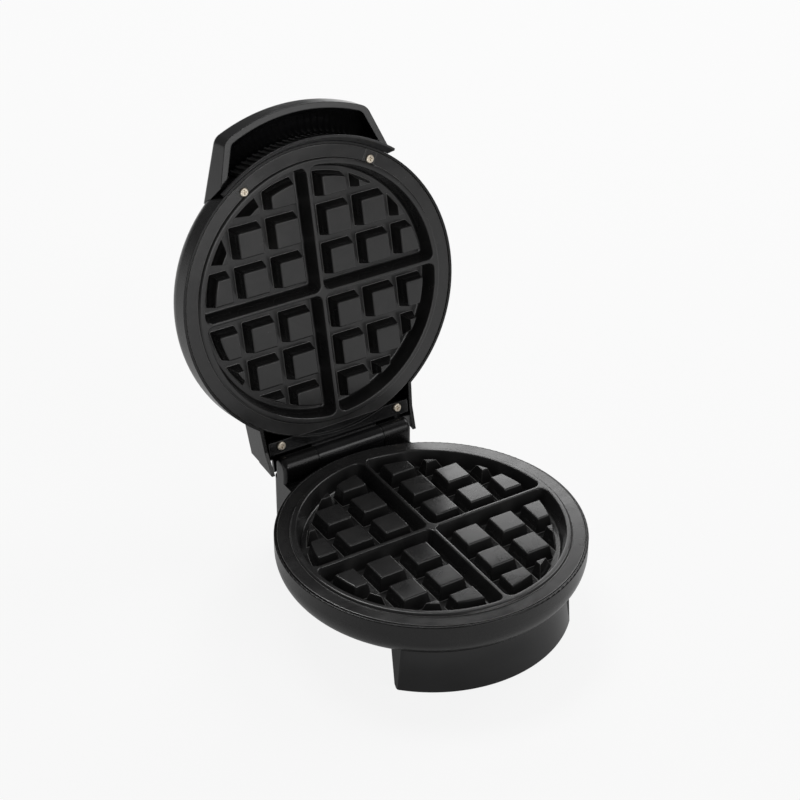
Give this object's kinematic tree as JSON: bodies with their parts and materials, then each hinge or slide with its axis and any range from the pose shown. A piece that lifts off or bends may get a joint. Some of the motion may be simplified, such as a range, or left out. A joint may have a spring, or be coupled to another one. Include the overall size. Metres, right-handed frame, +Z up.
{
  "type": "belgian waffle maker",
  "caption": "Round countertop waffle iron with hinged lid, quartered deep-grid plates, hooded ribbed handle and curved front foot, lid standing open.",
  "frame": {"origin": "on the surface it stands on, at the middle of the outer box of the product with its lid open", "axes": "+Z up, -Y towards the handle and front foot, +Y towards the hinge, +X along the hinge pin"},
  "size_m": [0.203, 0.2876, 0.2888],
  "materials": {
    "housing_black": "glossy moulded phenolic",
    "bowl_black": "satin moulded",
    "cast_plate": "cast, dark non-stick coating",
    "element_sheath": "heat-tinted tube",
    "reflector_sheet": "bright rolled",
    "zinc_screw": "zinc plated",
    "rubber_pad": "matt",
    "pin_steel": "drawn",
    "inner_plastic": "moulded",
    "ribbed_black": "glossy ribbed",
    "lens_red": "translucent",
    "lens_green": "translucent",
    "lamp_glass": "clear"
  },
  "bodies": {
    "base": {"base_housing": "bowl_black", "base_bottom_cover": "bowl_black", "bottom_cover_screws": "zinc_screw", "front_foot": "housing_black", "front_rubber_pads": "rubber_pad", "rear_rubber_pads": "rubber_pad", "lower_cooking_plate": "cast_plate", "lower_heating_element": "element_sheath", "lower_heat_reflector": "reflector_sheet", "lower_reflector_screws": "zinc_screw", "thermostat": "inner_plastic", "thermal_fuse": "pin_steel", "terminal_block": "inner_plastic", "cord_gland": "rubber_pad", "hinge_pin": "pin_steel"},
    "lid": {"lid_cover": "bowl_black", "hinge_frame": "housing_black", "lid_handle": "housing_black", "grip_liner": "ribbed_black", "upper_cooking_plate": "cast_plate", "upper_heating_element": "element_sheath", "upper_heat_reflector": "reflector_sheet", "upper_reflector_screws": "zinc_screw", "front_plate_screws": "zinc_screw", "hinge_frame_screws": "zinc_screw", "power_lens": "lens_red", "ready_lens": "lens_green", "lamp_holder": "inner_plastic", "neon_lamps": "lamp_glass"}
  },
  "joints": [
    {"name": "lid_hinge", "type": "hinge", "parent": "base", "child": "lid", "pos_m": [0, 0.0685, 0.0594], "axis": [1, 0, 0], "range_deg": [0, 102]}
  ]
}
